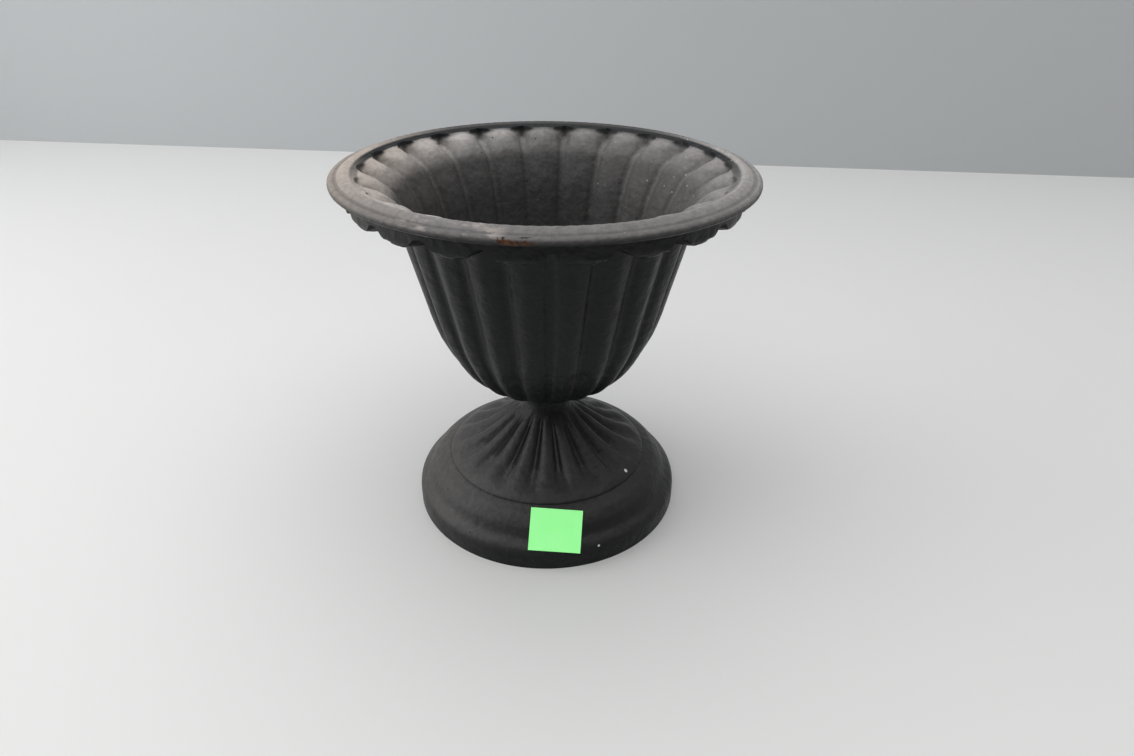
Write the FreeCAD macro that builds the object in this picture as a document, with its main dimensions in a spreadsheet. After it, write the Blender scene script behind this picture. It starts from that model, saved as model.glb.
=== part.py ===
"""Small cast iron garden urn: a fluted bowl bolted to a bell-shaped pedestal.

Millimetres, +Z up. The origin lies on the floor under the middle of the foot, and -Y is the front.
"""
import FreeCAD, Part
import math
import os

import Sketcher

# Driving dimensions: lengths in millimetres, angles in degrees, and counts
SIZES = {
    # Where the two castings meet
    "joint_height": 46.8,
    "neck_radius": 10.3,
    # Outline of the bowl along the crowns of its lobes, from the stub up
    "stub_height": 53.6,
    "sole_radius": 12.9,
    "sole_height": 55.4,
    "sole_ledge": 0.4,
    "heel_radius": 28.8,
    "heel_height": 60.2,
    "knee_radius": 33.2,
    "knee_height": 63.7,
    "hip_radius": 38.4,
    "hip_height": 70.0,
    "belly_radius": 42.9,
    "belly_height": 78.0,
    "flank_radius": 46.4,
    "flank_height": 86.0,
    "waist_radius": 49.1,
    "waist_height": 96.0,
    "throat_radius": 59.0,
    "throat_drop": 12.2,
    # Drops: the square ends of the lobes under the rim
    "drop_radius": 75.0,
    "drop_slope": 0.8,
    "drop_arris": 2.0,
    "drop_gap": 11.0,
    "flute_roof_drop": 6.6,
    # Rim: a high inner bead, a shallow groove and a low outer bead
    "rim_radius": 80.0,
    "rim_under_drop": 3.6,
    "outer_bead": 1.7,
    "rim_groove_radius": 77.1,
    "rim_groove_drop": 0.7,
    "rim_top_radius": 73.6,
    "rim_top_rise": 1.6,
    "inner_bead": 2.6,
    "mouth_height": 148.8,
    "mouth_ledge": 0.4,
    # Flutes outside and pockets inside the lobes
    "lobe_count": 22,
    "lobe_phase": -88.8,
    "lobe_crown": 1.7,
    "flute_depth": 3.3,
    "wall": 3.3,
    "floor_height": 58.8,
    "seat_radius": 12.5,
    "flare_drop": 24.8,
    "pocket_radius": 70.4,
    # Bell of the pedestal, from the neck down to the field of tongues
    "neck_foot_radius": 10.8,
    "neck_foot_height": 44.4,
    "collar_radius": 13.0,
    "collar_height": 42.2,
    "shoulder_radius": 17.2,
    "shoulder_height": 39.9,
    "brow_radius": 22.5,
    "brow_height": 35.6,
    "bell_radius": 27.4,
    "bell_height": 31.9,
    "skirt_radius": 33.0,
    "skirt_height": 28.7,
    "tip_radius": 38.2,
    "tip_height": 26.3,
    "hem_radius": 41.2,
    "hem_height": 24.2,
    "field_radius": 44.0,
    "field_height": 21.7,
    # Tongues round the bell
    "tongue_count": 18,
    "tongue_phase": -90.0,
    "tongue_depth": 3.5,
    # Foot of the pedestal: convex band, fillet and rounded lip
    "field_step": 0.5,
    "band_radius": 54.3,
    "band_height": 11.6,
    "band_curve": 15.0,
    "lip_radius": 58.7,
    "lip_height": 6.2,
    "lip_curve": 4.6,
    # Hollow under the pedestal
    "foot_wall": 4.2,
    "bell_wall": 5.8,
    "nut_seat_height": 36.4,
    "nut_seat_radius": 10.2,
    # Bolted joint
    "bolt_radius": 4.0,
    "bolt_clearance": 0.45,
    "bolt_overhang": 3.0,
    "bolt_point": 0.8,
    "hex_width": 13.0,
    "hex_chamfer": 0.5,
    "head_height": 5.3,
    "nut_height": 6.5,
    "bowl_washer_radius": 11.0,
    "bowl_washer_thickness": 1.8,
    "foot_washer_radius": 8.4,
    "foot_washer_thickness": 1.6,
    "washer_clearance": 0.4,
    "spring_washer_radius": 7.0,
    "spring_washer_thickness": 2.0,
    "spring_washer_gap": 1.4,
    "thread_clearance": 0.1,
    # Paper label on the front of the foot
    "label_width": 21.2,
    "label_length": 17.0,
    "label_thickness": 0.2,
    "label_turn": 6.9,
    "label_side": 3.4,
    "label_drop": 1.6,
    # Extra length of a cut past the surface that it leaves
    "overrun": 1.0,
}

# Depth of the flutes at each level of the bowl's side, as shares of the full depth
FLUTE_LEVEL_SHARES = {
    "sole": 0.0, "heel": 0.35, "knee": 0.6, "hip": 0.78, "belly": 0.9, "flank": 0.96, "waist": 1.0,
    "throat": 1.1,
}
# Bowl's wall behind the flutes: its level thickness as a share of the wall, and depth of the flute there
WALL_SHARES = {"knee": (1.6, 0.6), "belly": (1.15, 0.9), "waist": (1.03, 1.0), "flare": (1.03836, 1.05)}
# Half width of a flute as a share of the bowl's radius
FLUTE_WIDTH_SHARE = 0.05
# Gap between two drops, from their bottom up: shares of the rise, of the run, of the gap and of the arris
ROOF_SHARES = [
    (0.0, -0.06, 1.2, 1.0), (0.14, -0.03, 1.0, 0.25), (0.45, 0.22, 0.78, 0.0), (0.8, 0.62, 0.5, 0.0),
]
# Inside of the bowl: depth of a crease as a share of a flute, and its half width as a share of half a lobe
CREASE_DEPTH_SHARE = 0.6
CREASE_SHARE = 0.28
CREASE_EDGE_SHARE = 0.4
# Flare of the inside up to the rim: shares of the rise, of the crest's run, of the crease's run and its width
FLARE_SHARES = [
    (0.28, 0.11, 0.17, 0.28), (0.51, 0.26, 0.32, 0.27), (0.645, 0.35, 0.46, 0.26), (0.73, 0.41, 0.72, 0.26),
    (0.79, 0.46, 0.98, 0.28), (0.88, 0.57, 1.0, 0.42), (0.96, 0.81, 1.0, 0.66),
]
# Drop of the grooves between the tongues at each level of the bell, and of the thin ridge in their middle
TONGUE_LEVEL_SHARES = {
    "neck_foot": (0.0, 0.0), "collar": (0.3, 0.1), "shoulder": (0.62, 0.2), "brow": (0.85, 0.3),
    "bell": (1.0, 0.4), "skirt": (0.97, 0.45), "tip": (0.5, 0.5), "hem": (0.08, 0.08), "field": (0.0, 0.0),
}
# Half of a tongue from the groove on: shares of half its width, and of the groove's drop
TONGUE_SHARES = [(0.24, 1.0), (0.52, 0.22)]
# Direction in which the bell's wall is measured, as shares along the radius and the height
BELL_LEAN_SHARES = (0.62, 0.79)
# Straight pieces in a notch and across a crown: outside and inside the bowl, and under the pedestal
FLUTE_PIECES = (4, 2)
CREASE_PIECES = (4, 2)
HOLLOW_PIECES = (2, 2)
# Fullness of the two curves of a ring
NOTCH_FULLNESS_SHARE = 0.8
CROWN_FULLNESS_SHARE = 0.6
# Directions round the beads and bends of the turned outlines, in degrees
OUTER_BEAD_TURNS = (-90, -30, 30, 90)
INNER_BEAD_TURNS = (30, 90, 150)
LIP_TURNS = (60, 30, 0)
BAND_PIECES = 3

doc = FreeCAD.newDocument("urn")
sheet = doc.addObject("Spreadsheet::Sheet", "Size")
for row, (alias, value) in enumerate(SIZES.items(), start=1):
    sheet.set(f"A{row}", alias)
    sheet.set(f"B{row}", str(value))
    sheet.setAlias(f"B{row}", alias)
doc.recompute()


def size(name):
    """Value of one of the sheet's cells."""
    return float(sheet.get(name))


def level(name):
    """Height of a level of the bowl, which stands over the floor or hangs from the bowl's mouth."""
    if name + "_drop" in SIZES:
        return size("mouth_height") - size(name + "_drop")
    return size(name + "_height")


def polar(radius, angle, height):
    """Point at a radius, an angle and a height."""
    return FreeCAD.Vector(radius * math.cos(angle), radius * math.sin(angle), height)


def between(low, high, share):
    """Value at a share of the way from low to high."""
    return low + (high - low) * share


# Lobed solids: stacks of level rings joined by flat triangles

def curve_points(first, last, top, fullness, pieces):
    """Points along a cubic curve from first to last whose middle lies at top, without the last point."""
    middle = (first + last) / 2
    lift = (top - middle) * 4 / 3
    half = (last - first) / 2 * fullness
    curve = Part.BezierCurve()
    curve.setPoles([first, middle + lift - half, middle + lift + half, last])
    return [curve.value(step / pieces) for step in range(pieces)]


class Rings:
    """Stack of closed level rings of many corners, joined by flat triangles."""

    def __init__(self, count, turn, pieces=None):
        self.count = count
        self.pieces = pieces
        self.turn = math.radians(turn)
        self.rings = []

    def add_lobes(self, height, crown, edge, mouth, apex):
        """Add a ring with a notch at every lobe; the notch's mouth is a share of half a lobe."""
        lobe = 2 * math.pi / self.count
        reach = mouth * lobe / 2
        points = []
        for step in range(self.count):
            middle = self.turn + step * lobe
            first = polar(edge, middle - reach, height)
            last = polar(edge, middle + reach, height)
            following = polar(edge, middle + lobe - reach, height)
            bottom = polar(apex, middle, height)
            top = polar(crown, middle + lobe / 2, height)
            points += curve_points(first, last, bottom, NOTCH_FULLNESS_SHARE, self.pieces[0])
            points += curve_points(last, following, top, CROWN_FULLNESS_SHARE, self.pieces[1])
        self.rings.append(points)

    def add_round(self, height, radius, mouth):
        """Add a round ring with the same corners as a lobed one."""
        lobe = 2 * math.pi / self.count
        reach = mouth * lobe / 2
        across, along = self.pieces
        notch = [-reach + 2 * reach * step / across for step in range(across)]
        crown = [reach + (lobe - 2 * reach) * step / along for step in range(along)]
        turns = [self.turn + step * lobe + turn for step in range(self.count) for turn in notch + crown]
        self.rings.append([polar(radius, turn, height) for turn in turns])

    def add_tongues(self, height, radius, groove, ridge):
        """Add a ring of tongues; two grooves with a thin ridge between them part each two."""
        half = math.pi / self.count
        right = [(turn, groove * share) for turn, share in TONGUE_SHARES]
        left = [(-turn, drop) for turn, drop in reversed(right)]
        points = []
        for step in range(self.count):
            for turn, drop in [*left, (0, ridge), *right, (1, 0)]:
                points.append(polar(radius, self.turn + (2 * step + turn) * half, height - drop))
        self.rings.append(points)

    def share(self, slimness):
        """Half of a width, given as a share of the radius, as a share of half a lobe."""
        return math.asin(slimness) * self.count / math.pi

    def wire(self, index):
        """One of the rings as a closed wire."""
        points = self.rings[index]
        return Part.makePolygon(points + points[:1])

    def sides(self):
        """Flat triangles between each two neighbouring rings, split along the shorter diagonal."""
        faces = []
        for lower, upper in zip(self.rings, self.rings[1:]):
            for step in range(len(lower)):
                near, far = lower[step - 1], lower[step]
                near_up, far_up = upper[step - 1], upper[step]
                if near.distanceToPoint(far_up) < far.distanceToPoint(near_up):
                    corners = [(near, far, far_up), (near, far_up, near_up)]
                else:
                    corners = [(near, far, near_up), (far, far_up, near_up)]
                faces += [Part.Face(Part.makePolygon([*three, three[0]])) for three in corners]
        return faces


def circle(radius, height):
    """Level circle as a wire."""
    return Part.Wire(Part.makeCircle(radius, FreeCAD.Vector(0, 0, height)))


def washer_face(outer, inner):
    """Flat face between two level wires."""
    return Part.makeFace([outer, inner], "Part::FaceMakerBullseye")


def turned_faces(corners):
    """Faces of an open outline of radius and height, turned round the Z axis."""
    outline = Part.makePolygon([FreeCAD.Vector(radius, 0, height) for radius, height in corners])
    return outline.revolve(FreeCAD.Vector(), FreeCAD.Vector(0, 0, 1), 360).Faces


def round_the_bend(radius, height, curve, turns):
    """Corners of an outline round a bend with its middle at a radius and a height."""
    ways = [math.radians(turn) for turn in turns]
    return [(radius + curve * math.cos(way), height + curve * math.sin(way)) for way in ways]


def band_arc():
    """Arc of the foot's band in the plane of radius and height, from its upper to its lower end."""
    step = size("field_step")
    upper = FreeCAD.Vector(size("field_radius") + step, size("field_height") - step, 0)
    lower = FreeCAD.Vector(size("band_radius"), size("band_height"), 0)
    chord = lower - upper
    inwards = FreeCAD.Vector(chord.y, -chord.x, 0).normalize()
    rise = math.sqrt(size("band_curve") ** 2 - chord.Length ** 2 / 4)
    centre = (upper + lower) / 2 + inwards * rise
    turns = [math.atan2(end.y - centre.y, end.x - centre.x) for end in (lower, upper)]
    return Part.ArcOfCircle(Part.Circle(centre, FreeCAD.Vector(0, 0, 1), size("band_curve")), *turns)


def solid_of(label, faces):
    """Document object with the solid that the faces close."""
    shell = Part.makeShell(faces)
    shell.sewShape()
    solid = Part.makeSolid(shell.Shells[0])
    if solid.Volume < 0:
        solid.reverse()
    feature = doc.addObject("Part::Feature", label)
    feature.Shape = solid
    return feature


def bowl_outside():
    """Rings of the bowl's outside from its sole up: fluted side, drops and the plain band above them."""
    rings = Rings(int(size("lobe_count")), size("lobe_phase"), FLUTE_PIECES)
    plain = rings.share(FLUTE_WIDTH_SHARE)
    for name, share in FLUTE_LEVEL_SHARES.items():
        radius = size(name + "_radius")
        edge = radius - size("lobe_crown") * share
        apex = radius - size("flute_depth") * share
        rings.add_lobes(level(name), radius, edge, plain, apex)
    bottom = level("throat") + size("drop_slope")
    for rise, run, gap, arris in ROOF_SHARES:
        height = between(bottom, level("flute_roof"), rise)
        radius = size("drop_radius") - size("drop_arris") * arris
        apex = between(size("throat_radius"), size("drop_radius"), run)
        rings.add_lobes(height, radius, radius, rings.share(size("drop_gap") * gap / radius / 2), apex)
    rings.add_round(level("flute_roof"), size("drop_radius"), plain)
    rings.add_round(level("rim_under"), size("drop_radius"), plain)
    return rings


def skin_radius(name):
    """Radius of the bowl's outside at a level; the flare lies between the waist and the throat."""
    if name != "flare":
        return size(name + "_radius")
    share = (level(name) - level("waist")) / (level("throat") - level("waist"))
    return between(size("waist_radius"), size("throat_radius"), share)


def bowl_hollow():
    """Rings of the hollow: broad crests behind the flutes with narrow creases between, flaring to the rim."""
    count = int(size("lobe_count"))
    rings = Rings(count, size("lobe_phase") + 180 / count, CREASE_PIECES)
    rings.add_round(size("floor_height"), size("seat_radius"), CREASE_SHARE)
    for name, (lean, share) in WALL_SHARES.items():
        depth = size("flute_depth") * share
        crest = skin_radius(name) - depth - size("wall") * lean
        crease = crest + depth * CREASE_DEPTH_SHARE
        edge = between(crest, crease, CREASE_EDGE_SHARE)
        rings.add_lobes(level(name), crest, edge, CREASE_SHARE, crease)
    reach = size("pocket_radius")
    for rise, run, out, mouth in FLARE_SHARES:
        height = between(level("flare"), size("mouth_height"), rise)
        ridge = between(crest, reach, run)
        far = between(crease, reach, out)
        rings.add_lobes(height, ridge, between(ridge, far, CREASE_EDGE_SHARE), mouth, far)
    rings.add_round(size("mouth_height"), reach, CREASE_SHARE)
    return rings


def bell_outside():
    """Rings of the pedestal's bell: foot of the tongues first, then up to the neck."""
    count = int(size("tongue_count"))
    rings = Rings(count, size("tongue_phase") + 180 / count)
    rings.add_tongues(size("field_height") - size("field_step"), size("field_radius"), 0, 0)
    for name in reversed(TONGUE_LEVEL_SHARES):
        groove, ridge = (size("tongue_depth") * share for share in TONGUE_LEVEL_SHARES[name])
        rings.add_tongues(size(name + "_height"), size(name + "_radius"), groove, ridge)
    rings.add_tongues(size("joint_height"), size("neck_radius"), 0, 0)
    return rings


def make_bowl():
    """The bowl casting: fluted shell, rim, and a bolt hole through its floor."""
    outside = bowl_outside()
    hollow = bowl_hollow()
    hole = size("bolt_radius") + size("bolt_clearance")
    under = level("rim_under")
    bead = size("outer_bead")
    top = size("inner_bead")
    rim = round_the_bend(size("rim_radius") - bead, under + bead, bead, OUTER_BEAD_TURNS)
    rim.append((size("rim_groove_radius"), level("rim_groove")))
    crest = size("mouth_height") + size("rim_top_rise")
    rim += round_the_bend(size("rim_top_radius"), crest - top, top, INNER_BEAD_TURNS)
    ledge = size("pocket_radius") + size("mouth_ledge")
    rim.append((ledge, size("mouth_height")))
    neck = size("neck_radius")
    sole = (size("sole_radius") - size("sole_ledge"), size("sole_height"))
    stub = [sole, (neck, size("stub_height")), (neck, size("joint_height")), (hole, size("joint_height"))]
    stub.append((hole, size("floor_height")))
    faces = outside.sides() + hollow.sides() + turned_faces(rim) + turned_faces(stub)
    faces.append(washer_face(outside.wire(0), circle(*sole)))
    faces.append(washer_face(hollow.wire(0), circle(hole, size("floor_height"))))
    faces.append(washer_face(circle(rim[0][0], under), outside.wire(-1)))
    faces.append(washer_face(circle(ledge, size("mouth_height")), hollow.wire(-1)))
    return solid_of("bowl", faces)


def bell_hollow():
    """Rings of the hollow under the pedestal, from the floor up to the seat of the nut."""
    rings = Rings(int(size("tongue_count")), size("tongue_phase"), HOLLOW_PIECES)
    along, up = (size("bell_wall") * share for share in BELL_LEAN_SHARES)
    inside = size("lip_radius") - size("foot_wall")
    corners = [(inside, 0), (inside, size("lip_height"))]
    for name in ("field", "brow"):
        corners.append((size(name + "_radius") - along, size(name + "_height") - up))
    corners.append((size("nut_seat_radius"), size("nut_seat_height")))
    for radius, height in corners:
        rings.add_round(height, radius, 1 / 2)
    return rings


def make_pedestal():
    """The pedestal casting: bell of tongues on a round foot, hollow below, with a bolt hole in its neck."""
    bell = bell_outside()
    hollow = bell_hollow()
    hole = size("bolt_radius") + size("bolt_clearance")
    bend = band_arc().toShape().discretize(BAND_PIECES + 1)
    band = [(point.x, point.y) for point in reversed(bend)]
    curve = size("lip_curve")
    lip = round_the_bend(size("lip_radius") - curve, size("lip_height"), curve, LIP_TURNS)
    floor = (size("lip_radius"), 0)
    faces = bell.sides() + hollow.sides() + turned_faces([*band, *lip, floor])
    faces += turned_faces([(hole, size("nut_seat_height")), (hole, size("joint_height"))])
    faces.append(washer_face(circle(*band[0]), bell.wire(0)))
    faces.append(washer_face(bell.wire(-1), circle(hole, size("joint_height"))))
    faces.append(washer_face(circle(*floor), hollow.wire(0)))
    faces.append(washer_face(hollow.wire(-1), circle(hole, size("nut_seat_height"))))
    return solid_of("pedestal", faces)


# Turned pieces: bodies with a sketched outline revolved round the Z axis

def number(text):
    """Value of an expression over the sheet."""
    return float(sheet.evalExpression(text))


def bind(sketch, kind, places, text):
    """Adds a dimension to the sketch and binds it to an expression."""
    index = sketch.addConstraint(Sketcher.Constraint(kind, *places, number(text)))
    sketch.setExpression(f"Constraints[{index}]", text)


def turned(label, corners):
    """Body revolved round the Z axis from corners given as expressions."""
    body = doc.addObject("PartDesign::Body", label)
    sketch = body.newObject("Sketcher::SketchObject", label + "_outline")
    plane = next(f for f in body.Origin.OriginFeatures if f.Role == "XZ_Plane")
    sketch.AttachmentSupport = [(plane, "")]
    sketch.MapMode = "FlatFace"
    points = [FreeCAD.Vector(number(across), number(up), 0) for across, up in corners]
    for edge, start in enumerate(points):
        sketch.addGeometry(Part.LineSegment(start, points[(edge + 1) % len(points)]), False)
    for edge, (across, up) in enumerate(corners):
        following = (edge + 1) % len(corners)
        sketch.addConstraint(Sketcher.Constraint("Coincident", edge, 2, following, 1))
        bind(sketch, "DistanceX", (-1, 1, edge, 1), across)
        bind(sketch, "DistanceY", (-1, 1, edge, 1), up)
    feature = body.newObject("PartDesign::Revolution", label + "_turned")
    feature.Profile = sketch
    feature.ReferenceAxis = (sketch, ["V_Axis"])
    feature.Angle = 360
    body.Tip = feature
    return body


def cylinder(label, radius, bottom, height):
    """Upright cylinder on the Z axis, sized by expressions."""
    feature = doc.addObject("Part::Cylinder", label)
    feature.setExpression("Radius", radius)
    feature.setExpression("Height", height)
    feature.setExpression("Placement.Base.z", bottom)
    return feature


def joined(kind, label, base, tool):
    """Fuse, Cut or Common of two document objects."""
    feature = doc.addObject("Part::" + kind, label)
    feature.Base = base
    feature.Tool = tool
    return feature


# Heights down the bolted joint
WASHER_TOP = "(Size.floor_height + Size.bowl_washer_thickness)"
FOOT_WASHER_BOTTOM = "(Size.nut_seat_height - Size.foot_washer_thickness)"
SPRING_BOTTOM = f"({FOOT_WASHER_BOTTOM} - Size.spring_washer_thickness)"
NUT_BOTTOM = f"({SPRING_BOTTOM} - Size.nut_height)"
HEAD_TOP = f"({WASHER_TOP} + Size.head_height)"
BOLT_BOTTOM = f"({NUT_BOTTOM} - Size.bolt_overhang)"
HEX_CORNER = "Size.hex_width / 2 / cos(30)"


def hexagon(label, bottom, height, outer, inner):
    """Hexagon bar from bottom up, with the end at outer turned to a slight cone towards inner."""
    bar = doc.addObject("Part::Prism", label + "_bar")
    bar.Polygon = 6
    bar.setExpression("Circumradius", HEX_CORNER)
    bar.setExpression("Height", height)
    bar.setExpression("Placement.Base.z", bottom)
    blank = turned(label + "_blank", [
        ("0", outer),
        ("Size.hex_width / 2", outer),
        (HEX_CORNER, f"{outer} + ({inner} - {outer}) * Size.hex_chamfer / ({height})"),
        (HEX_CORNER, inner),
        ("0", inner),
    ])
    return joined("Common", label + "_hexagon", bar, blank)


def make_bolt():
    """Hexagon bolt through both castings, its point chamfered."""
    shank = turned("bolt_shank", [
        ("0", BOLT_BOTTOM),
        ("Size.bolt_radius - Size.bolt_point", BOLT_BOTTOM),
        ("Size.bolt_radius", f"{BOLT_BOTTOM} + Size.bolt_point"),
        ("Size.bolt_radius", f"{WASHER_TOP} + Size.head_height / 2"),
        ("0", f"{WASHER_TOP} + Size.head_height / 2"),
    ])
    head = hexagon("bolt_head", WASHER_TOP, "Size.head_height", HEAD_TOP, WASHER_TOP)
    return joined("Fuse", "clamp_bolt", head, shank)


def make_nut():
    """Hexagon nut on the bolt's end."""
    hole = cylinder("nut_hole", "Size.bolt_radius + Size.thread_clearance", f"{NUT_BOTTOM} - Size.overrun",
                    "Size.nut_height + 2 * Size.overrun")
    bar = hexagon("nut", NUT_BOTTOM, "Size.nut_height", NUT_BOTTOM, SPRING_BOTTOM)
    return joined("Cut", "hex_nut", bar, hole)


def washer(label, radius, bottom, thickness):
    """Flat ring round the bolt."""
    disc = cylinder(label + "_disc", radius, bottom, thickness)
    hole = cylinder(label + "_hole", "Size.bolt_radius + Size.washer_clearance", f"{bottom} - Size.overrun",
                    f"{thickness} + 2 * Size.overrun")
    return joined("Cut", label, disc, hole)


def make_spring_washer():
    """Split ring between the foot's washer and the nut."""
    ring = washer("spring_ring", "Size.spring_washer_radius", SPRING_BOTTOM, "Size.spring_washer_thickness")
    slot = doc.addObject("Part::Box", "spring_slot")
    slot.setExpression("Length", "Size.spring_washer_radius + Size.overrun")
    slot.setExpression("Width", "Size.spring_washer_gap")
    slot.setExpression("Height", "Size.spring_washer_thickness + 2 * Size.overrun")
    slot.setExpression("Placement.Base.y", "-Size.spring_washer_gap / 2")
    slot.setExpression("Placement.Base.z", f"{SPRING_BOTTOM} - Size.overrun")
    return joined("Cut", "spring_washer", ring, slot)


def make_label():
    """Paper label: a flat slip that rests on the foot's band and on its lip."""
    band = band_arc()
    lip = FreeCAD.Vector(size("lip_radius") - size("lip_curve"), size("lip_height"), 0)
    way = lip - band.Center
    slope = math.asin((size("band_curve") - size("lip_curve")) / way.Length) - math.atan2(way.y, way.x)
    reach = band.Center.x + size("band_curve") * math.sin(slope)
    rise = band.Center.y + size("band_curve") * math.cos(slope)
    slip = doc.addObject("Part::Box", "price_label")
    slip.setExpression("Length", "Size.label_width")
    slip.setExpression("Width", "Size.label_length")
    slip.setExpression("Height", "Size.label_thickness")
    corner = FreeCAD.Vector(-size("label_width") / 2, -size("label_length") / 2 - size("label_drop"), 0)
    turn = FreeCAD.Rotation(FreeCAD.Vector(0, 0, 1), -size("label_turn"))
    tilt = FreeCAD.Rotation(FreeCAD.Vector(1, 0, 0), math.degrees(slope))
    swing = FreeCAD.Rotation(FreeCAD.Vector(0, 0, 1), math.degrees(size("label_side") / reach))
    touch = swing.multVec(FreeCAD.Vector(0, -reach, rise))
    facing = swing.multiply(tilt).multiply(turn)
    slip.Placement = FreeCAD.Placement(touch + facing.multVec(corner), facing)
    return slip


nodes = [
    make_bowl(),
    make_pedestal(),
    make_bolt(),
    make_nut(),
    washer("bowl_washer", "Size.bowl_washer_radius", "Size.floor_height", "Size.bowl_washer_thickness"),
    washer("foot_washer", "Size.foot_washer_radius", FOOT_WASHER_BOTTOM, "Size.foot_washer_thickness"),
    make_spring_washer(),
    make_label(),
]
doc.recompute()

for thing in doc.Objects:
    if {"Invalid", "Error"} & set(thing.State):
        raise RuntimeError(f"{thing.Label} did not build")
os.makedirs("parts", exist_ok=True)
for node in nodes:
    if node.Shape.isNull() or not node.Shape.isValid() or len(node.Shape.Solids) != 1:
        raise RuntimeError(f"{node.Label} is not one valid solid")
    node.Shape.exportStep(f"parts/{node.Label}.step")
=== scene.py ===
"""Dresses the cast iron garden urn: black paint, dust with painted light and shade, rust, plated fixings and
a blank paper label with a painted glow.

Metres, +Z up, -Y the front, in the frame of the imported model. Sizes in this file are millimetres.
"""
import logging
import math
from dataclasses import dataclass
from enum import Enum, auto
from typing import Any

import bpy
from mathutils import Matrix, Vector


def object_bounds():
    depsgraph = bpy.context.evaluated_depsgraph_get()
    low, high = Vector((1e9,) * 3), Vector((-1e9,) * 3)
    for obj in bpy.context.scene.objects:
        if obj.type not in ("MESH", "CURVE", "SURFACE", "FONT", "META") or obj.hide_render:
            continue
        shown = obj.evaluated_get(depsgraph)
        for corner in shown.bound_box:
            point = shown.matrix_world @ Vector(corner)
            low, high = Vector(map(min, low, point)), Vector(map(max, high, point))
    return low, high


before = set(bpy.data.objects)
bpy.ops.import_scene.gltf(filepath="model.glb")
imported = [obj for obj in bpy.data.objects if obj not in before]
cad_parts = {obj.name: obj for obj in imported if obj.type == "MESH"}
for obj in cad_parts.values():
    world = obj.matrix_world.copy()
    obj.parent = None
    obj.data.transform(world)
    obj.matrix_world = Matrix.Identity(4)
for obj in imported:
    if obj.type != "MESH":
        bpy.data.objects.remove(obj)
CAD_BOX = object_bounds()
LOG = logging.getLogger("urn")
MM = 0.001
# Widest and highest reach of the urn, which is its rim
RIM_RADIUS = CAD_BOX[1][0] / MM
RIM_HEIGHT = CAD_BOX[1][2] / MM
# Sockets of a colour mix, which go by number because their names repeat
SHARE, UNDER, OVER, MIXED = 0, 6, 7, 2


def linear(code: str) -> tuple[float, float, float, float]:
    """Turn an sRGB hex colour into linear light.

    Args:
        code: Six hex digits with a leading hash.

    Returns:
        Red, green, blue and an alpha of one.
    """
    parts = [int(code[i:i + 2], 16) / 255 for i in (1, 3, 5)]
    light = [p / 12.92 if p <= 0.04045 else ((p + 0.055) / 1.055) ** 2.4 for p in parts]
    return light[0], light[1], light[2], 1.0


def add_node(tree: bpy.types.NodeTree, kind: str, inputs: dict[str | int, Any] | None = None,
             **settings: Any) -> bpy.types.Node:
    """Add a node with its settings, constants and links.

    Args:
        tree: Node tree that takes the node.
        kind: Blender's identifier of the node.
        inputs: Constant or output socket for each input, by name or number.
        settings: Properties of the node.

    Returns:
        The new node.
    """
    node = tree.nodes.new(kind)
    for name, value in settings.items():
        setattr(node, name, value)
    for key, value in (inputs or {}).items():
        if isinstance(value, bpy.types.NodeSocket):
            tree.links.new(value, node.inputs[key])
        else:
            node.inputs[key].default_value = value
    return node


def place_in_mm(tree: bpy.types.NodeTree) -> bpy.types.NodeSocket:
    """Position on the piece in millimetres."""
    place = add_node(tree, "ShaderNodeTexCoord").outputs["Object"]
    return add_node(tree, "ShaderNodeVectorMath", {0: place, "Scale": 1 / MM}, operation="SCALE").outputs[0]


def bare_material(name: str) -> bpy.types.Material:
    """Make a material with an empty node tree.

    Args:
        name: Name of the material.

    Returns:
        The new material.
    """
    made = bpy.data.materials.new(name)
    made.use_nodes = True
    made.node_tree.nodes.clear()
    return made


def coat(name: str, material: bpy.types.Material) -> bpy.types.Object:
    """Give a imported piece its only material.

    Args:
        name: Name of the piece.
        material: Its finish.

    Returns:
        The piece.
    """
    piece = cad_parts[name]
    piece.data.materials.clear()
    piece.data.materials.append(material)
    return piece


class Measure(Enum):
    """What is known of a point on the castings: lengths, its turn in degrees, and the rest as shares.

    The drop is counted down from the top of the rim, and the inset inwards from its edge.
    """

    PLACE = auto()
    ACROSS = auto()
    DEPTH = auto()
    HEIGHT = auto()
    DROP = auto()
    INSET = auto()
    TURN = auto()
    SIDE = auto()
    RISE = auto()
    OUTWARDS = auto()
    CREASE = auto()
    CLOUD = auto()
    FINE = auto()
    TEAR = auto()
    STREAK = auto()
    SWELL = auto()
    GRIT = auto()
    PITS = auto()
    LINT = auto()
    CRUMBS = auto()
    SOIL = auto()
    RIM_TOP = auto()
    RIM_GROOVE = auto()
    RECESS = auto()
    BACK_EDGE = auto()
    # Shares of dust, with painted light and painted shade laid into them
    SUMMED_DUST_LIGHT_AND_SHADE = auto()
    DUST_LIGHT_AND_SHADE = auto()


Skin = dict[Measure, bpy.types.NodeSocket]
Source = bpy.types.NodeSocket | float


@dataclass(frozen=True)
class Fade:
    """A share that changes in a straight line along one measure, and is even before and after."""

    along: Measure
    start: float
    end: float
    first: float = 0.0
    last: float = 1.0

    def inputs(self, skin: Skin) -> dict[str, Any]:
        """List the inputs of the node that draws the fade.

        Args:
            skin: Measures of the point.

        Returns:
            Value of each input by its name.
        """
        return {
            "Value": skin[self.along], "From Min": self.start, "From Max": self.end,
            "To Min": self.first, "To Max": self.last,
        }


def band(along: Measure, low: float, high: float, soft: float) -> tuple[Fade, Fade]:
    """Two fades that leave only the band between two values, with soft ends."""
    return Fade(along, low - soft, low), Fade(along, high + soft, high)


# The inside of the bowl faces its axis
INSIDE = Fade(Measure.OUTWARDS, -2, -26)
# Crumbs lie on the right of the inside
STREWN = (INSIDE, Fade(Measure.ACROSS, 5, 40, 0.0, 0.85))
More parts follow.
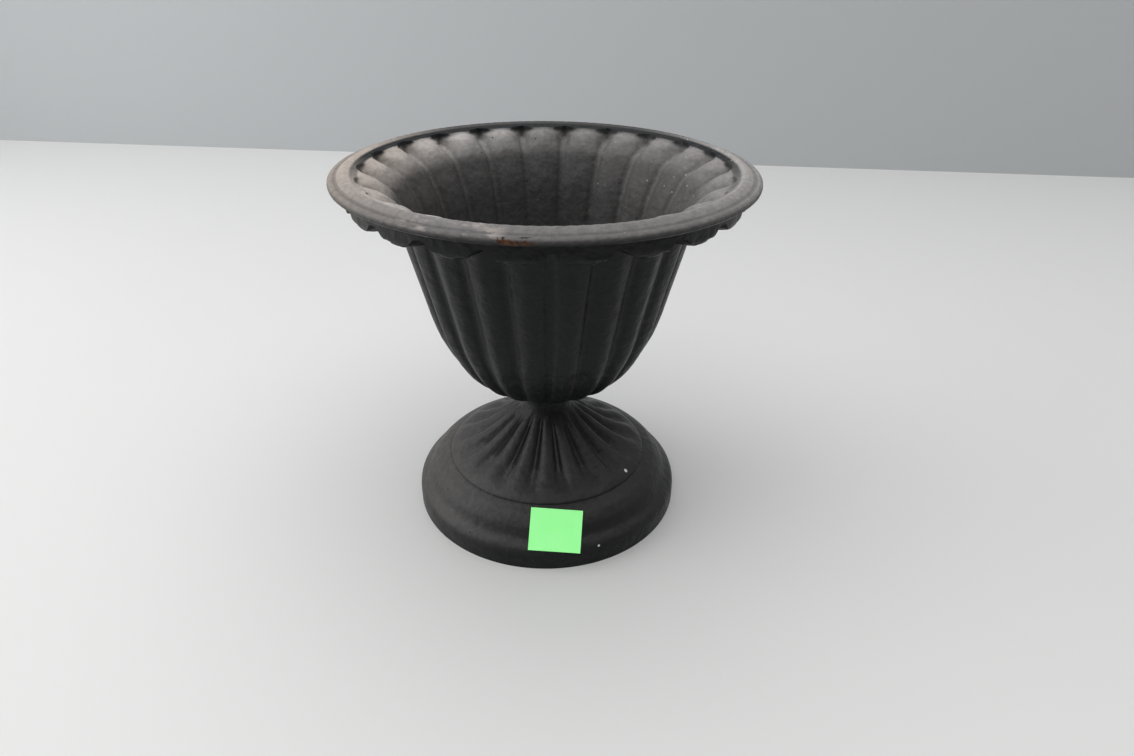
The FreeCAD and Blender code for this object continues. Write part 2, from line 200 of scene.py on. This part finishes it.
# The top of the rim, where it turns over into the bowl
TURNED_OVER = Fade(Measure.DROP, 4.4, 2.9)
# Colours of loose dirt
BLACK_DIRT = "#090909"
PALE_DIRT = "#b9b2a8"


@dataclass(frozen=True)
class Blots:
    """A cloudy pattern, drawn out along the rim or even all round."""

    name: Measure
    width: float
    detail: float
    roughness: float = 0.6
    drawn_out: bool = False


@dataclass(frozen=True)
class Specks:
    """Specks of one colour that lie some way apart, where some fades let them show."""

    name: Measure
    apart: float
    width: float
    colour: str
    strength: float = 1.0
    where: tuple[Fade, ...] = ()
    core: float = 0.6

    def mask(self) -> tuple[Fade, ...]:
        """Fades that leave the specks."""
        half = self.width / self.apart / 2
        return Fade(self.name, half, half * self.core, 0.0, self.strength), *self.where


@dataclass(frozen=True)
class Mark:
    """A spot on the paint: its middle and half its extent along each axis."""

    place: tuple[float, float, float]
    reach: tuple[float, float, float]


@dataclass(frozen=True)
class PaintedIron:
    """Sand-cast iron, brushed with matt black paint."""

    paint: str = "#131416"
    worn_paint: str = "#1a1b1c"
    # The dust colour is also laid on as painted light, and left off as painted shade
    dust_and_light: str = "#b3afad"
    warm_dust: str = "#b8ada4"
    scuff: str = "#c3b8b2"
    rust: str = "#63412a"
    dark_rust: str = "#2a1b13"
    crack: str = BLACK_DIRT
    fleck: str = "#e4e2de"
    roughness: float = 0.4
    dusty_roughness: float = 0.95
    ior: float = 1.5
    gloss: float = 0.19
    swell_strength: float = 0.9
    swell_depth: float = 0.9
    grit_strength: float = 0.6
    grit_depth: float = 0.2
    # Lobes round the bowl, and the angle of a crease between two of them
    crease_count: int = 22
    crease_degrees: float = 9.4
    # Rubbed streaks are this many times longer along the rim than across it
    streak_stretch: float = 4.43
    # The grit of the moulding sand is drawn a little coarse so that it shows
    blots: tuple[Blots, ...] = (
        Blots(Measure.CLOUD, 14.0, 5.0),
        Blots(Measure.FINE, 2.2, 4.0, 0.65),
        Blots(Measure.TEAR, 1.4, 5.0, 0.7),
        Blots(Measure.STREAK, 2.0, 4.0, drawn_out=True),
        Blots(Measure.SWELL, 6.0, 2.0),
        Blots(Measure.GRIT, 1.1, 3.0, 0.7),
    )
    specks: tuple[Specks, ...] = (
        Specks(Measure.PITS, 12.0, 1.1, BLACK_DIRT, 0.8),
        Specks(Measure.LINT, 6.5, 0.6, PALE_DIRT, where=(Fade(Measure.DUST_LIGHT_AND_SHADE, 0, 1, 0.0, 3.0),)),
        Specks(Measure.CRUMBS, 4.4, 0.8, PALE_DIRT, where=STREWN),
        Specks(Measure.SOIL, 7.3, 1.2, BLACK_DIRT, where=STREWN),
    )
    # Rim: its top, the groove between its beads, the recess inside it and its inner half at the back
    regions: tuple[tuple[Measure, tuple[Fade, ...]], ...] = (
        (Measure.RIM_TOP, (Fade(Measure.DROP, 5.9, 3.4), Fade(Measure.INSET, 8.77, 5.77))),
        (Measure.RIM_GROOVE, band(Measure.INSET, 2.27, 3.17, 0.6)),
        (Measure.RECESS, (
            *band(Measure.INSET, 8.37, 10.37, 0.8), TURNED_OVER, Fade(Measure.DEPTH, -45, 10),
        )),
        (Measure.BACK_EDGE, (
            *band(Measure.INSET, 5.27, 10.37, 2.5), TURNED_OVER, Fade(Measure.DEPTH, 20, 60, 0.0, 0.8),
        )),
    )
    # A veil of dust down the inside; its thickening towards the right is painted light, on the inner wall
    # that faces the light from the left
    veil_and_light: tuple[Fade, ...] = (INSIDE, Fade(Measure.ACROSS, 10, 60, 0.08, 0.19))
    # Dirt in the creases inside, less of it at the back
    crease_dirt: tuple[Fade, ...] = (
        INSIDE, Fade(Measure.CREASE, 0.16, 0.0), Fade(Measure.DROP, 40.4, 8.4, 0.0, 0.1),
        Fade(Measure.CLOUD, 0.35, 0.65, 0.3, 1.2), Fade(Measure.DEPTH, 20, 60, 1.0, 0.2),
    )
    # Thin dust on what looks up below the rim; the extra of up to three times as much on the left is painted
    # light, for the light that falls from the left
    ledge_dust_and_light: tuple[Fade, ...] = (
        Fade(Measure.RISE, 0.1, 0.95), Fade(Measure.DROP, 12.4, 3.4, 0.062, 0.38),
        Fade(Measure.ACROSS, -45, 0, 3.0, 1.0), Fade(Measure.RIM_TOP, 0, 1, 1.0, 0.0),
    )
    # Thick dust on the rim. Painted light adds a little at its left end, and painted shade thins it at the
    # front, at the back, in the groove and on the outer bead
    rim_dust_light_and_shade: tuple[Fade, ...] = (
        Fade(Measure.RIM_TOP, 0, 1), Fade(Measure.RISE, -0.5, 0.8),
        Fade(Measure.ACROSS, -78, -40, 0.92, 0.84), Fade(Measure.DEPTH, -78, -10, 0.47, 0.95),
        Fade(Measure.RIM_GROOVE, 0, 1, 1.0, 0.6), Fade(Measure.INSET, 2.77, 1.27, 1.0, 0.75),
        Fade(Measure.DEPTH, 30, 78, 1.0, 0.84),
    )
    # Painted light: a thin coat of the dust colour on what faces to the left, for the light that falls from
    # the left
    painted_left_light: tuple[Fade, ...] = (Fade(Measure.SIDE, -0.3, -0.95, 0.0, 0.035),)
    # All dust is patchy. Painted shade leaves none in the recess and little on the back edge, which stay dark
    patches_and_shade: tuple[Fade, ...] = (
        Fade(Measure.RECESS, 0, 1, 1.0, 0.0), Fade(Measure.SUMMED_DUST_LIGHT_AND_SHADE, 0, 2, 0.0, 2.0),
        Fade(Measure.BACK_EDGE, 0, 1, 1.0, 0.0), Fade(Measure.FINE, 0.3, 0.7, 0.75, 1.15),
    )
    # Streaks on the left of the rim's front where the paint has rubbed thin
    scuffs: tuple[Fade, ...] = (
        Fade(Measure.STREAK, 0.53, 0.63), Fade(Measure.TURN, -40, -34), Fade(Measure.TURN, -8, -11.2),
        Fade(Measure.DROP, 3.9, 2.4), Fade(Measure.RISE, 0.2, 0.6, 0.0, 0.38),
    )
    warm_side: Fade = Fade(Measure.ACROSS, -35, -75)
    rust_patches: Fade = Fade(Measure.FINE, 0.35, 0.65)
    # How far a spot's outline strays, and where it ends, as shares of its reach
    tear: Fade = Fade(Measure.TEAR, 0.3, 0.7, -0.8, 0.8)
    spot_end: float = 1.1
    spot_core: float = 0.8
    rusted: tuple[Mark, ...] = (
        Mark((-8.8, -79.4, 146.8), (5.0, 2.4, 0.9)), Mark((-12.4, -78.9, 147.1), (2.2, 2.0, 0.8)),
    )
    cracked: tuple[Mark, ...] = (
        Mark((-6.6, -78.4, 148.4), (1.6, 0.25, 0.8)), Mark((-12.6, -78.0, 148.2), (0.9, 0.25, 0.8)),
    )
    flecked: tuple[Mark, ...] = (
        Mark((34.1, -24.1, 23.7), (0.8, 0.8, 1.4)), Mark((21.0, -54.4, 8.2), (0.5, 0.9, 0.5)),
    )

    def bearings(self, tree: bpy.types.NodeTree) -> Skin:
        """Find where a point lies on the castings and where it faces.

        Args:
            tree: Node tree of the material.

        Returns:
            Socket of each place, angle and facing.
        """
        place = place_in_mm(tree)
        facing = add_node(tree, "ShaderNodeNewGeometry").outputs["Normal"]
        across, depth, height = add_node(tree, "ShaderNodeSeparateXYZ", {0: place}).outputs
        side, _, rise = add_node(tree, "ShaderNodeSeparateXYZ", {0: facing}).outputs
        flat = add_node(tree, "ShaderNodeCombineXYZ", {0: across, 1: depth}).outputs[0]
        radius = add_node(tree, "ShaderNodeVectorMath", {0: flat}, operation="LENGTH").outputs["Value"]
        inset = add_node(tree, "ShaderNodeMath", {0: RIM_RADIUS, 1: radius}, operation="SUBTRACT").outputs[0]
        drop = add_node(tree, "ShaderNodeMath", {0: RIM_HEIGHT, 1: height}, operation="SUBTRACT").outputs[0]
        outwards = add_node(tree, "ShaderNodeVectorMath", {0: facing, 1: flat}, operation="DOT_PRODUCT")

        # The turn is nought at the front and rises to the right; creases are counted from it in lobes
        ahead = add_node(tree, "ShaderNodeMath", {0: depth, 1: -1.0}, operation="MULTIPLY").outputs[0]
        angle = add_node(tree, "ShaderNodeMath", {0: across, 1: ahead}, operation="ARCTAN2").outputs[0]
        turn = add_node(tree, "ShaderNodeMath", {0: angle}, operation="DEGREES").outputs[0]
        past = add_node(tree, "ShaderNodeMath", {
            0: turn, 1: self.crease_degrees,
        }, operation="SUBTRACT").outputs[0]
        lobes = add_node(tree, "ShaderNodeMath", {
            0: past, 1: 360 / self.crease_count,
        }, operation="DIVIDE").outputs[0]
        crease = add_node(tree, "ShaderNodeMath", {0: lobes, 1: 0.5}, operation="PINGPONG").outputs[0]
        return {
            Measure.PLACE: place, Measure.ACROSS: across, Measure.DEPTH: depth, Measure.HEIGHT: height,
            Measure.DROP: drop, Measure.INSET: inset, Measure.TURN: turn, Measure.SIDE: side,
            Measure.RISE: rise, Measure.OUTWARDS: outwards.outputs["Value"], Measure.CREASE: crease,
        }

    def patterns(self, tree: bpy.types.NodeTree, skin: Skin) -> None:
        """Add the blots and the specks to the measures.

        Args:
            tree: Node tree of the material.
            skin: Measures so far, which take the patterns.
        """
        place, turn, height = skin[Measure.PLACE], skin[Measure.TURN], skin[Measure.HEIGHT]
        reach = add_node(tree, "ShaderNodeVectorMath", {0: place}, operation="LENGTH").outputs["Value"]
        arc = math.radians(RIM_RADIUS) / self.streak_stretch
        along = add_node(tree, "ShaderNodeMath", {0: turn, 1: arc}, operation="MULTIPLY").outputs[0]
        drawn = add_node(tree, "ShaderNodeCombineXYZ", {0: along, 1: reach, 2: height}).outputs[0]
        for blots in self.blots:
            skin[blots.name] = add_node(tree, "ShaderNodeTexNoise", {
                "Vector": drawn if blots.drawn_out else place, "Scale": 1 / blots.width,
                "Detail": blots.detail, "Roughness": blots.roughness,
            }).outputs[0]
        for specks in self.specks:
            skin[specks.name] = add_node(tree, "ShaderNodeTexVoronoi", {
                "Vector": place, "Scale": 1 / specks.apart,
            }).outputs["Distance"]

    def mask(self, tree: bpy.types.NodeTree, skin: Skin, fades: tuple[Fade, ...]) -> bpy.types.NodeSocket:
        """Multiply some fades.

        Args:
            tree: Node tree of the material.
            skin: Measures of the point.
            fades: Fades to multiply.

        Returns:
            Socket of a share between nought and one.
        """
        share: Source = 1.0
        for fade in fades:
            step = add_node(tree, "ShaderNodeMapRange", fade.inputs(skin)).outputs[0]
            share = add_node(tree, "ShaderNodeMath", {0: share, 1: step}, operation="MULTIPLY",
                             use_clamp=True).outputs[0]
        return share

    def lay_dust_light_and_shade(self, tree: bpy.types.NodeTree, skin: Skin) -> None:
        """Add the regions of the rim and the share of dust, painted light and painted shade to the measures.

        Args:
            tree: Node tree of the material.
            skin: Measures so far, which take the dust and its painted light and shade.
        """
        for name, fades in self.regions:
            skin[name] = self.mask(tree, skin, fades)
        total: Source = 0.0
        for fades in (self.veil_and_light, self.crease_dirt, self.ledge_dust_and_light, self.rim_dust_light_and_shade, self.painted_left_light):
            part = self.mask(tree, skin, fades)
            total = add_node(tree, "ShaderNodeMath", {0: total, 1: part}, operation="ADD").outputs[0]
        skin[Measure.SUMMED_DUST_LIGHT_AND_SHADE] = total
        skin[Measure.DUST_LIGHT_AND_SHADE] = self.mask(tree, skin, self.patches_and_shade)

    def spots(self, tree: bpy.types.NodeTree, place: bpy.types.NodeSocket, tear: Source,
              marks: tuple[Mark, ...]) -> bpy.types.NodeSocket:
        """Draw spots with torn outlines.

        Args:
            tree: Node tree of the material.
            place: Position on the casting.
            tear: How far the outlines stray.
            marks: Spots to draw.

        Returns:
            Socket that is one inside a spot.
        """
        total: Source = 0.0
        for mark in marks:
            offset = add_node(tree, "ShaderNodeVectorMath", {0: place, 1: mark.place}, operation="SUBTRACT")
            scaled = add_node(tree, "ShaderNodeVectorMath", {
                0: offset.outputs[0], 1: mark.reach,
            }, operation="DIVIDE").outputs[0]
            away = add_node(tree, "ShaderNodeVectorMath", {0: scaled}, operation="LENGTH").outputs["Value"]
            torn = add_node(tree, "ShaderNodeMath", {0: away, 1: tear}, operation="ADD").outputs[0]
            near = add_node(tree, "ShaderNodeMapRange", {
                "Value": torn, "From Min": self.spot_end, "From Max": self.spot_core,
            }).outputs[0]
            total = add_node(tree, "ShaderNodeMath", {0: total, 1: near}, operation="MAXIMUM").outputs[0]
        return total

    def colour(self, tree: bpy.types.NodeTree, skin: Skin) -> bpy.types.NodeSocket:
        """Lay paint, dust with painted light and shade, specks, rubbed streaks, rust, cracks and flecks over
        one another.

        Args:
            tree: Node tree of the material.
            skin: Measures of the point.

        Returns:
            Socket of the colour.
        """
        left, rusting, tear = (
            add_node(tree, "ShaderNodeMapRange", fade.inputs(skin)).outputs[0]
            for fade in (self.warm_side, self.rust_patches, self.tear)
        )
        paint, dust_and_light, rust = (
            add_node(tree, "ShaderNodeMix", {SHARE: share, UNDER: linear(under), OVER: linear(over)},
                     data_type="RGBA").outputs[MIXED]
            for share, under, over in (
                (skin[Measure.CLOUD], self.paint, self.worn_paint),
                (left, self.dust_and_light, self.warm_dust),
                (rusting, self.dark_rust, self.rust),
            )
        )
        place = skin[Measure.PLACE]
        layers = [
            (skin[Measure.DUST_LIGHT_AND_SHADE], dust_and_light),
            *((self.mask(tree, skin, specks.mask()), linear(specks.colour)) for specks in self.specks),
            (self.mask(tree, skin, self.scuffs), linear(self.scuff)),
            (self.spots(tree, place, tear, self.rusted), rust),
            (self.spots(tree, place, tear, self.cracked), linear(self.crack)),
            (self.spots(tree, place, 0.0, self.flecked), linear(self.fleck)),
        ]
        shown = paint
        for share, over in layers:
            shown = add_node(tree, "ShaderNodeMix", {SHARE: share, UNDER: shown, OVER: over},
                             data_type="RGBA").outputs[MIXED]
        return shown

    def material(self) -> bpy.types.Material:
        """Build the material.

        Returns:
            Painted iron with all that lies on it.
        """
        # The sand leaves a fine grit and the brush a slow swell, so that the dull black never shines evenly
        made = bare_material("sand_cast_iron_matt_black_paint")
        tree = made.node_tree
        skin = self.bearings(tree)
        self.patterns(tree, skin)
        self.lay_dust_light_and_shade(tree, skin)
        swell = add_node(tree, "ShaderNodeBump", {
            "Height": skin[Measure.SWELL], "Strength": self.swell_strength, "Distance": self.swell_depth * MM,
        }).outputs[0]
        grit = add_node(tree, "ShaderNodeBump", {
            "Height": skin[Measure.GRIT], "Strength": self.grit_strength, "Distance": self.grit_depth * MM,
            "Normal": swell,
        }).outputs[0]
        dull = add_node(tree, "ShaderNodeMapRange", {
            "Value": skin[Measure.DUST_LIGHT_AND_SHADE], "To Min": self.roughness, "To Max": self.dusty_roughness,
        }).outputs[0]
        shader = add_node(tree, "ShaderNodeBsdfPrincipled", {
            "Base Color": self.colour(tree, skin), "Roughness": dull, "Normal": grit, "IOR": self.ior,
            "Specular IOR Level": self.gloss,
        }).outputs[0]
        add_node(tree, "ShaderNodeOutputMaterial", {"Surface": shader})
        return made


@dataclass(frozen=True)
class ZincSteel:
    """Rolled steel, zinc plated."""

    zinc: str = "#9c9a94"
    tarnish: str = "#6f6c66"
    rust: str = "#6d4227"
    metallic: float = 0.9
    roughness: float = 0.45
    rusty_roughness: float = 0.9
    spangle_width: float = 2.0
    spangle_detail: float = 4.0
    rust_width: float = 3.5
    rust_detail: float = 6.0
    rust_raggedness: float = 0.7
    rust_begins: float = 0.54
    rust_full: float = 0.64
    scale_strength: float = 0.4
    scale_depth: float = 0.1

    def material(self) -> bpy.types.Material:
        """Build the material.

        Returns:
            Plated steel with rust spots.
        """
        # Old plating is a dull grey of two tones, and where it has gone the rust is rough and without shine
        made = bare_material("rolled_steel_zinc_plated")
        tree = made.node_tree
        place = place_in_mm(tree)
        spangle = add_node(tree, "ShaderNodeTexNoise", {
            "Vector": place, "Scale": 1 / self.spangle_width, "Detail": self.spangle_detail,
        }).outputs[0]
        spread = add_node(tree, "ShaderNodeTexNoise", {
            "Vector": place, "Scale": 1 / self.rust_width, "Detail": self.rust_detail,
            "Roughness": self.rust_raggedness,
        }).outputs[0]
        rusted = add_node(tree, "ShaderNodeMapRange", {
            "Value": spread, "From Min": self.rust_begins, "From Max": self.rust_full,
        }).outputs[0]
        plating = add_node(tree, "ShaderNodeMix", {
            SHARE: spangle, UNDER: linear(self.tarnish), OVER: linear(self.zinc),
        }, data_type="RGBA").outputs[MIXED]
        colour = add_node(tree, "ShaderNodeMix", {
            SHARE: rusted, UNDER: plating, OVER: linear(self.rust),
        }, data_type="RGBA").outputs[MIXED]
        metal = add_node(tree, "ShaderNodeMapRange", {
            "Value": rusted, "To Min": self.metallic, "To Max": 0.0,
        }).outputs[0]
        dull = add_node(tree, "ShaderNodeMapRange", {
            "Value": rusted, "To Min": self.roughness, "To Max": self.rusty_roughness,
        }).outputs[0]
        bump = add_node(tree, "ShaderNodeBump", {
            "Height": spread, "Strength": self.scale_strength, "Distance": self.scale_depth * MM,
        }).outputs[0]
        shader = add_node(tree, "ShaderNodeBsdfPrincipled", {
            "Base Color": colour, "Metallic": metal, "Roughness": dull, "Normal": bump,
        }).outputs[0]
        add_node(tree, "ShaderNodeOutputMaterial", {"Surface": shader})
        return made


@dataclass(frozen=True)
class LabelPaper:
    """Coated paper, printed all over in a bright signal green."""

    green: str = "#93ff95"
    # The worn green also colours the painted glow
    worn: str = "#a3ffa4"
    painted_glow: float = 0.32
    roughness: float = 0.55
    # Paper fibres are far finer, and are drawn coarse so that they show
    fibre_width: float = 0.9
    fibre_detail: float = 4.0
    fibre_strength: float = 0.3
    fibre_depth: float = 0.05
    crease_width: float = 6.0
    crease_detail: float = 3.0
    crease_strength: float = 0.5
    crease_depth: float = 0.4
    wear_begins: float = 0.4
    wear_full: float = 0.75
    wear: float = 0.6

    def material(self) -> bpy.types.Material:
        """Build the material.

        Returns:
            Green paper with soft creases and a painted glow.
        """
        # Signal inks give back daylight as extra green; a painted glow in the worn green stands in for it, so
        # the paper shines a little beside the black paint
        made = bare_material("coated_paper_signal_green")
        tree = made.node_tree
        place = place_in_mm(tree)
        fibre = add_node(tree, "ShaderNodeTexNoise", {
            "Vector": place, "Scale": 1 / self.fibre_width, "Detail": self.fibre_detail,
        }).outputs[0]
        crease = add_node(tree, "ShaderNodeTexNoise", {
            "Vector": place, "Scale": 1 / self.crease_width, "Detail": self.crease_detail,
        }).outputs[0]
        faded = add_node(tree, "ShaderNodeMapRange", {
            "Value": crease, "From Min": self.wear_begins, "From Max": self.wear_full, "To Max": self.wear,
        }).outputs[0]
        colour = add_node(tree, "ShaderNodeMix", {
            SHARE: faded, UNDER: linear(self.green), OVER: linear(self.worn),
        }, data_type="RGBA").outputs[MIXED]
        slow = add_node(tree, "ShaderNodeBump", {
            "Height": crease, "Strength": self.crease_strength, "Distance": self.crease_depth * MM,
        }).outputs[0]
        bump = add_node(tree, "ShaderNodeBump", {
            "Height": fibre, "Strength": self.fibre_strength, "Distance": self.fibre_depth * MM,
            "Normal": slow,
        }).outputs[0]
        shader = add_node(tree, "ShaderNodeBsdfPrincipled", {
            "Base Color": colour, "Roughness": self.roughness, "Normal": bump,
            "Emission Color": linear(self.worn), "Emission Strength": self.painted_glow,
        }).outputs[0]
        add_node(tree, "ShaderNodeOutputMaterial", {"Surface": shader})
        return made


@dataclass(frozen=True)
class SoftArrises:
    """Skin of the castings: their small facets read as one surface, and real corners stay crisp."""

    corner_degrees: float = 66.0
    weld: float = 0.02
    bell_radius: float = 43.0
    bell_height: float = 45.0
    bell_wear: float = 0.07

    def worn(self, tree: bpy.types.NodeTree) -> bpy.types.NodeSocket:
        """Wear the tongues of the bell a little soft.

        Args:
            tree: Node tree of the modifier.

        Returns:
            Socket of the places of the corners.
        """
        place = add_node(tree, "GeometryNodeInputPosition").outputs[0]
        across, depth, height = add_node(tree, "ShaderNodeSeparateXYZ", {0: place}).outputs
        flat = add_node(tree, "ShaderNodeCombineXYZ", {0: across, 1: depth}).outputs[0]
        radius = add_node(tree, "ShaderNodeVectorMath", {0: flat}, operation="LENGTH").outputs["Value"]
        share: Source = self.bell_wear
        for length, limit in ((radius, self.bell_radius), (height, self.bell_height)):
            within = add_node(tree, "ShaderNodeMath", {0: length, 1: limit * MM}, operation="LESS_THAN")
            share = add_node(tree, "ShaderNodeMath", {
                0: share, 1: within.outputs[0],
            }, operation="MULTIPLY").outputs[0]
        return add_node(tree, "GeometryNodeBlurAttribute", {
            "Value": place, "Iterations": 1, "Weight": share,
        }, data_type="FLOAT_VECTOR").outputs[0]

    def group(self) -> bpy.types.NodeTree:
        """Build the modifier's node group.

        Returns:
            Group that welds, softens and rounds a casting.
        """
        tree = bpy.data.node_groups.new("soft_arrises", "GeometryNodeTree")
        tree.interface.new_socket("Geometry", in_out="INPUT", socket_type="NodeSocketGeometry")
        tree.interface.new_socket("Geometry", in_out="OUTPUT", socket_type="NodeSocketGeometry")
        angle = add_node(tree, "GeometryNodeInputMeshEdgeAngle").outputs["Unsigned Angle"]
        corner = add_node(tree, "FunctionNodeCompare", {
            "A": angle, "B": math.radians(self.corner_degrees),
        }, data_type="FLOAT", operation="GREATER_THAN").outputs[0]
        skin = add_node(tree, "NodeGroupInput").outputs[0]
        plain = add_node(tree, "GeometryNodeRemoveAttribute", {
            "Geometry": skin, "Name": "custom_normal",
        }).outputs[0]
        welded = add_node(tree, "GeometryNodeMergeByDistance", {
            "Geometry": plain, "Distance": self.weld * MM,
        }).outputs[0]
        worn = add_node(tree, "GeometryNodeSetPosition", {
            "Geometry": welded, "Position": self.worn(tree),
        }).outputs[0]
        rounded = add_node(tree, "GeometryNodeSubdivisionSurface", {
            "Mesh": worn, "Level": 1, "Edge Crease": corner,
        }).outputs[0]
        smooth = add_node(tree, "GeometryNodeSetShadeSmooth", {
            0: rounded, "Shade Smooth": True,
        }, domain="FACE").outputs[0]
        crisp = add_node(tree, "GeometryNodeSetShadeSmooth", {
            0: smooth, "Selection": corner, "Shade Smooth": False,
        }, domain="EDGE").outputs[0]
        add_node(tree, "NodeGroupOutput", {0: crisp})
        return tree


@dataclass
class Castings:
    """The bowl and the pedestal."""

    nodes: tuple[str, ...] = ("bowl", "pedestal")
    finish: PaintedIron = PaintedIron()
    skin: SoftArrises = SoftArrises()

    def dress(self) -> tuple[str, ...]:
        """Paint both castings and soften their facets.

        Returns:
            Names of the castings.
        """
        paint = self.finish.material()
        group = self.skin.group()
        for name in self.nodes:
            coat(name, paint).modifiers.new("soft_arrises", "NODES").node_group = group
        return self.nodes


@dataclass
class Fixings:
    """The bolt, its nut and its washers."""

    nodes: tuple[str, ...] = ("clamp_bolt", "hex_nut", "bowl_washer", "foot_washer", "spring_washer")
    finish: ZincSteel = ZincSteel()

    def dress(self) -> tuple[str, ...]:
        """Plate every fixing.

        Returns:
            Names of the fixings.
        """
        plating = self.finish.material()
        for name in self.nodes:
            coat(name, plating)
        return self.nodes


@dataclass
class Sticker:
    """The blank paper label on the foot."""

    node: str = "price_label"
    finish: LabelPaper = LabelPaper()

    def dress(self) -> tuple[str, ...]:
        """Give the label its paper and return its name."""
        coat(self.node, self.finish.material())
        return (self.node,)


@dataclass(frozen=True)
class Lamp:
    """A square soft lamp: its place, its side and its power in watts."""

    name: str
    place: tuple[float, float, float]
    side: float
    watts: float


@dataclass
class Studio:
    """Pale table, grey wall, soft lamps and the camera; angles in degrees."""

    table: str = "#d9d9d8"
    wall: str = "#bbbec0"
    laminate_roughness: float = 0.6
    table_width: float = 2200.0
    table_front: float = -900.0
    wall_distance: float = 612.4
    wall_turn: float = -6.5
    wall_height: float = 900.0
    lamps: tuple[Lamp, ...] = (
        Lamp("window", (-950, -50, 450), 800, 5),
        Lamp("door", (950, 100, 500), 700, 0.8),
        Lamp("ceiling", (-100, -50, 1400), 2400, 31),
    )
    sky: str = "#f4f6fa"
    sky_strength: float = 0.07
    camera_place: tuple[float, float, float] = (0.0, -280.3, 220.5)
    camera_near: float = 10.0
    pitch: float = 30.41
    yaw: float = 1.54
    roll: float = -0.17
    focal_pixels: float = 740.0
    image_pixels: float = 1134.0
    sensor: float = 36.0

    def sheet(self, name: str, corners: list[tuple[float, float, float]], code: str) -> None:
        """Stand up a flat backdrop.

        Args:
            name: Name of the backdrop.
            corners: Its four corners.
            code: Colour as sRGB hex.
        """
        mesh = bpy.data.meshes.new(name)
        mesh.from_pydata([[v * MM for v in corner] for corner in corners], [], [(0, 1, 2, 3)])
        # Pressed laminate is an even matt tone that takes soft shadows
        laminate = bare_material(name + "_pressed_laminate")
        shader = add_node(laminate.node_tree, "ShaderNodeBsdfPrincipled", {
            "Base Color": linear(code), "Roughness": self.laminate_roughness,
        }).outputs[0]
        add_node(laminate.node_tree, "ShaderNodeOutputMaterial", {"Surface": shader})
        mesh.materials.append(laminate)
        sheet = bpy.data.objects.new(name, mesh)
        bpy.context.scene.collection.objects.link(sheet)

    def hang(self, lamp: Lamp) -> None:
        """Hang a lamp that points at the urn's middle.

        Args:
            lamp: Lamp to hang.
        """
        light = bpy.data.lights.new(lamp.name, "AREA")
        light.size = lamp.side * MM
        light.energy = lamp.watts
        hung = bpy.data.objects.new(lamp.name, light)
        hung.location = [v * MM for v in lamp.place]
        aim = Vector((0, 0, RIM_HEIGHT / 2)) - Vector(lamp.place)
        hung.rotation_euler = aim.to_track_quat("-Z", "Y").to_euler()
        bpy.context.scene.collection.objects.link(hung)

    def camera(self) -> None:
        """Set up the camera at the photograph's viewing angle."""
        pitch, yaw, roll = (math.radians(v) for v in (self.pitch, self.yaw, self.roll))
        right = Vector((1, 0, 0))
        ahead = Vector((0, math.cos(pitch), -math.sin(pitch)))
        up = Vector((0, math.sin(pitch), math.cos(pitch)))
        gaze = ahead * math.cos(yaw) + right * math.sin(yaw)
        side = right * math.cos(yaw) - ahead * math.sin(yaw)
        turned_side = side * math.cos(roll) + up * math.sin(roll)
        turned_up = up * math.cos(roll) - side * math.sin(roll)
        data = bpy.data.cameras.new("camera")
        data.sensor_width = self.sensor
        data.lens = self.focal_pixels / self.image_pixels * self.sensor
        data.clip_start = self.camera_near * MM
        camera = bpy.data.objects.new("camera", data)
        axes = Matrix((turned_side, turned_up, -gaze)).transposed().to_4x4()
        camera.matrix_world = Matrix.Translation([v * MM for v in self.camera_place]) @ axes
        bpy.context.scene.collection.objects.link(camera)
        bpy.context.scene.camera = camera

    def build(self) -> None:
        """Set up the whole studio."""
        half = self.table_width / 2
        front, top = self.table_front, self.wall_height
        lean = half * math.tan(math.radians(self.wall_turn))
        left, right = self.wall_distance - lean, self.wall_distance + lean
        edge = [(-half, left, 0), (half, right, 0)]
        self.sheet("table", [(-half, front, 0), (half, front, 0), *reversed(edge)], self.table)
        self.sheet("wall", [*edge, (half, right, top), (-half, left, top)], self.wall)
        for lamp in self.lamps:
            self.hang(lamp)
        world = bpy.data.worlds.new("studio")
        world.use_nodes = True
        background = world.node_tree.nodes["Background"]
        background.inputs["Color"].default_value = linear(self.sky)
        background.inputs["Strength"].default_value = self.sky_strength
        bpy.context.scene.world = world
        bpy.context.scene.view_settings.view_transform = "Standard"
        self.camera()


def main() -> None:
    """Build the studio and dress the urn."""
    logging.basicConfig(level=logging.INFO)
    Studio().build()
    for assembly in (Castings(), Fixings(), Sticker()):
        for name in assembly.dress():
            LOG.info("%s: %s", type(assembly).__name__, name)


if __name__ == "__main__":
    main()
